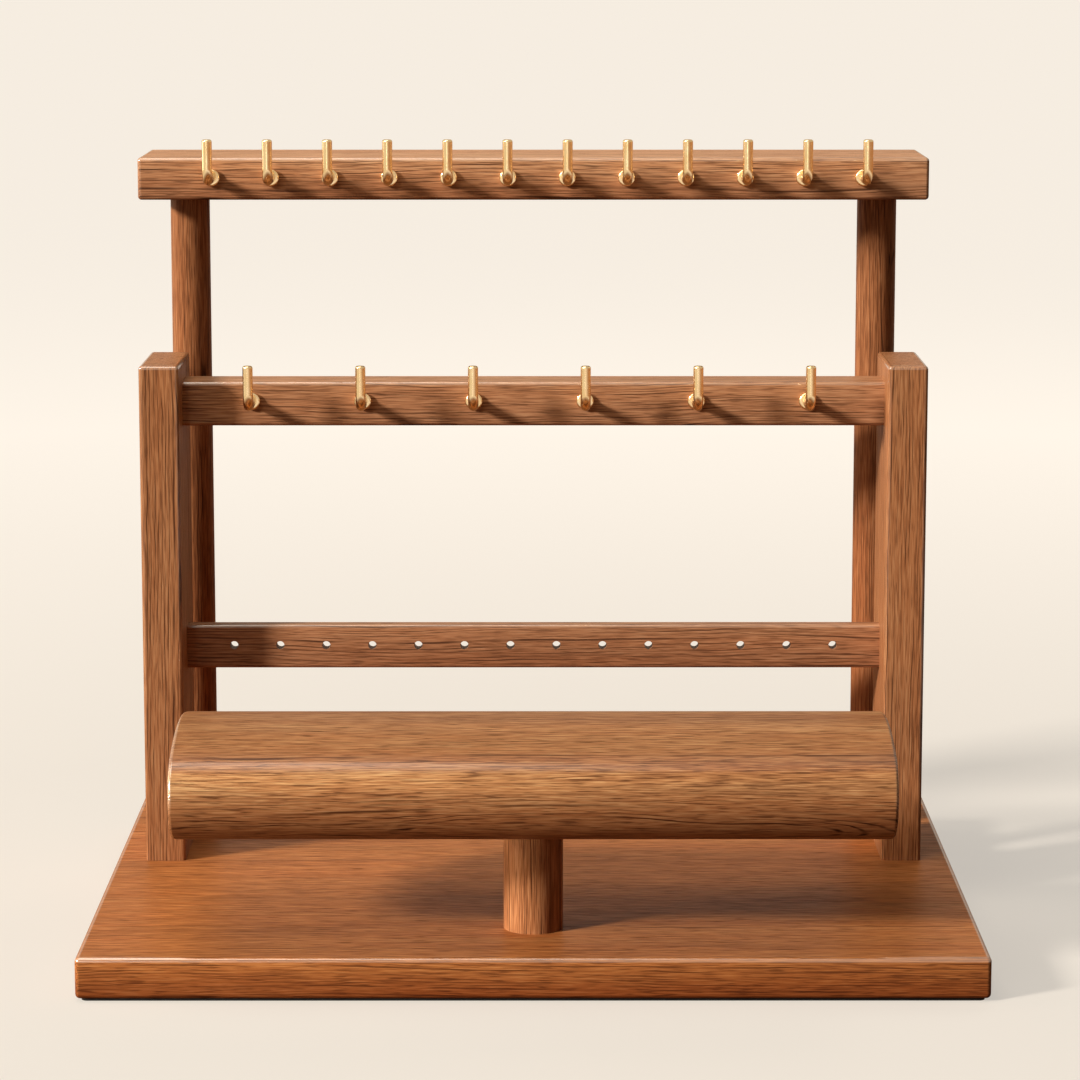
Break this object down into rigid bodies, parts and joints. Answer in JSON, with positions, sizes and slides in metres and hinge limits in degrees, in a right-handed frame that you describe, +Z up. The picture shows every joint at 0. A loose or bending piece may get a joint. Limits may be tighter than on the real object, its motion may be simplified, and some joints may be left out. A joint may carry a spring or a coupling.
{
  "type": "jewellery display stand",
  "caption": "Wooden jewellery stand: hook rails for necklaces on round and flat posts, a pierced earring rail, and an oval bracelet bar on a short post over a board.",
  "frame": {"origin": "on the table, under the middle of the whole outline in X and Y", "axes": "+X along the rails to the viewer's right, +Y to the back, +Z up"},
  "size_m": [0.3, 0.2446, 0.2724],
  "materials": {
    "base_wood": "satin lacquered walnut board, grain along X",
    "post_wood": "satin lacquered walnut, grain along Z",
    "rail_wood": "satin lacquered walnut, grain along X",
    "bar_wood": "satin lacquered walnut, grain along X",
    "hook_metal": "polished pale gold plating",
    "mat_rubber": "matt black non-slip rubber sheet",
    "screw_steel": "zinc plated",
    "dowel_wood": "bare beech"
  },
  "bodies": {
    "root": {"base_board": "base_wood", "front_post_left": "post_wood", "front_post_right": "post_wood", "rear_post_left": "post_wood", "rear_post_right": "post_wood", "bracelet_post": "post_wood", "top_rail": "rail_wood", "middle_rail": "rail_wood", "earring_rail": "rail_wood", "bracelet_bar": "bar_wood", "top_hook_01": "hook_metal", "top_hook_02": "hook_metal", "top_hook_03": "hook_metal", "top_hook_04": "hook_metal", "top_hook_05": "hook_metal", "top_hook_06": "hook_metal", "top_hook_07": "hook_metal", "top_hook_08": "hook_metal", "top_hook_09": "hook_metal", "top_hook_10": "hook_metal", "top_hook_11": "hook_metal", "top_hook_12": "hook_metal", "middle_hook_01": "hook_metal", "middle_hook_02": "hook_metal", "middle_hook_03": "hook_metal", "middle_hook_04": "hook_metal", "middle_hook_05": "hook_metal", "middle_hook_06": "hook_metal", "anti_slip_mat": "mat_rubber", "front_post_screws_left": "screw_steel", "front_post_screws_right": "screw_steel", "rear_post_screw_left": "screw_steel", "rear_post_screw_right": "screw_steel", "bracelet_post_screw": "screw_steel", "middle_rail_dowels_left": "dowel_wood", "middle_rail_dowels_right": "dowel_wood"}
  },
  "joints": []
}
